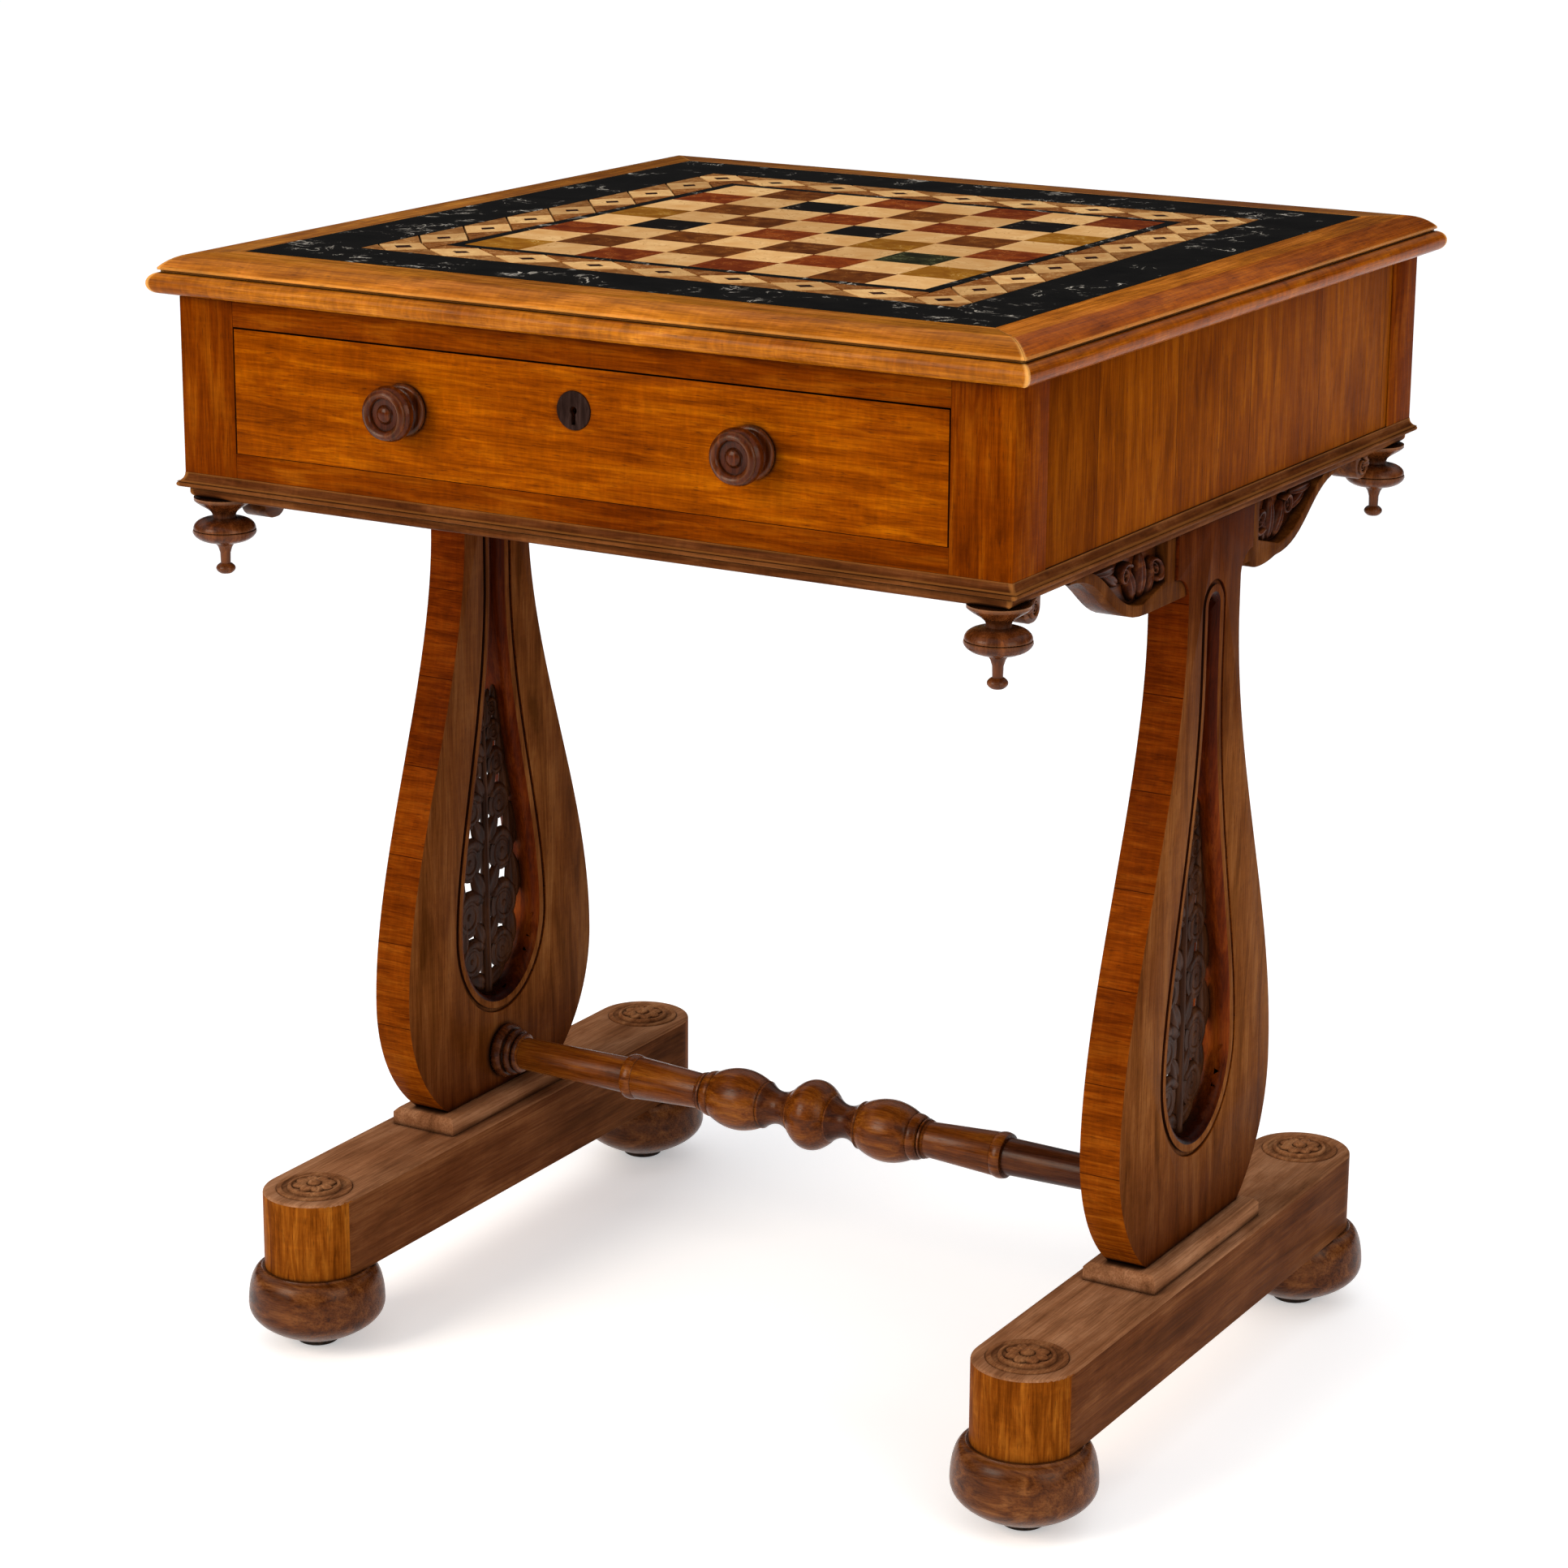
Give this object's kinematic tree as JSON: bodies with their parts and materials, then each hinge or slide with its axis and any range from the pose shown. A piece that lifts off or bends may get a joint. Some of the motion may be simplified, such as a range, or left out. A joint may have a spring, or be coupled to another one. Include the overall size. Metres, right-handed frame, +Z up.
{
  "type": "chess table",
  "caption": "Square chess table with an inlaid marble board in a moulded rim, a frieze drawer with knobs, lyre-shaped pierced end legs on sledge bars with bun feet and a turned stretcher.",
  "frame": {"origin": "on the floor, under the middle of the square top", "axes": "+Z up, +X to the right along the drawer front, +Y to the back; the drawer opens along -Y"},
  "size_m": [0.6226, 0.612, 0.74],
  "materials": {
    "rim_oak": "old wax polish, satin",
    "front_oak": "old wax polish, satin",
    "side_veneer": "veneer, worn polish",
    "drawer_pine": "bare planed wood",
    "moulding_wood": "dark polish, satin",
    "turned_wood": "dark polish, turned",
    "leg_veneer": "cross-banded veneer, polished",
    "lining_wood": "dark polish",
    "carved_wood": "dark polish, carved",
    "bar_veneer": "cross-banded veneer, worn",
    "black_marble": "polished",
    "cream_marble": "polished",
    "rust_marble": "polished",
    "brown_marble": "polished",
    "green_marble": "polished",
    "ochre_marble": "polished",
    "pink_marble": "polished",
    "iron": "dull, aged",
    "lock_brass": "dull, aged"
  },
  "bodies": {
    "table": {"rim_front": "rim_oak", "rim_right": "rim_oak", "rim_back": "rim_oak", "rim_left": "rim_oak", "rim_beads": "rim_oak", "bed_board": "drawer_pine", "drawer_runners": "drawer_pine", "drawer_kickers": "drawer_pine", "drawer_stops": "drawer_pine", "glue_blocks": "drawer_pine", "leg_dowels": "drawer_pine", "post_front_left": "front_oak", "post_front_right": "front_oak", "post_back_left": "front_oak", "post_back_right": "front_oak", "front_top_rail": "front_oak", "front_bottom_rail": "front_oak", "side_panel_left": "side_veneer", "side_panel_right": "side_veneer", "back_panel": "side_veneer", "base_mouldings": "moulding_wood", "corner_scrolls": "moulding_wood", "pendants": "turned_wood", "stretcher": "turned_wood", "bun_feet": "turned_wood", "leg_left": "leg_veneer", "leg_right": "leg_veneer", "leg_linings": "lining_wood", "carved_panels": "carved_wood", "leg_brackets": "carved_wood", "bar_left": "bar_veneer", "bar_right": "bar_veneer", "plinths": "bar_veneer", "roundels": "bar_veneer", "marble_slab": "black_marble", "board_stringing": "black_marble", "black_squares": "black_marble", "light_squares": "cream_marble", "band_lozenges": "cream_marble", "rust_squares": "rust_marble", "band_eyes": "rust_marble", "brown_squares": "brown_marble", "band_outer_triangles": "brown_marble", "green_squares": "green_marble", "ochre_squares": "ochre_marble", "band_inner_triangles": "pink_marble", "foot_glides": "iron", "top_screws": "iron"},
    "drawer": {"drawer_front": "front_oak", "drawer_side_left": "drawer_pine", "drawer_side_right": "drawer_pine", "drawer_back": "drawer_pine", "drawer_bottom": "drawer_pine", "knob_left": "turned_wood", "knob_right": "turned_wood", "escutcheon": "turned_wood", "lock_case": "lock_brass", "lock_screws": "iron"},
    "bolt": {"lock_bolt": "lock_brass"}
  },
  "joints": [
    {"name": "drawer_slide", "type": "slide", "parent": "table", "child": "drawer", "axis": [0, -1, 0], "range_m": [0, 0.32]},
    {"name": "bolt_slide", "type": "slide", "parent": "drawer", "child": "bolt", "axis": [0, 0, 1], "range_m": [0, 0.008]}
  ]
}
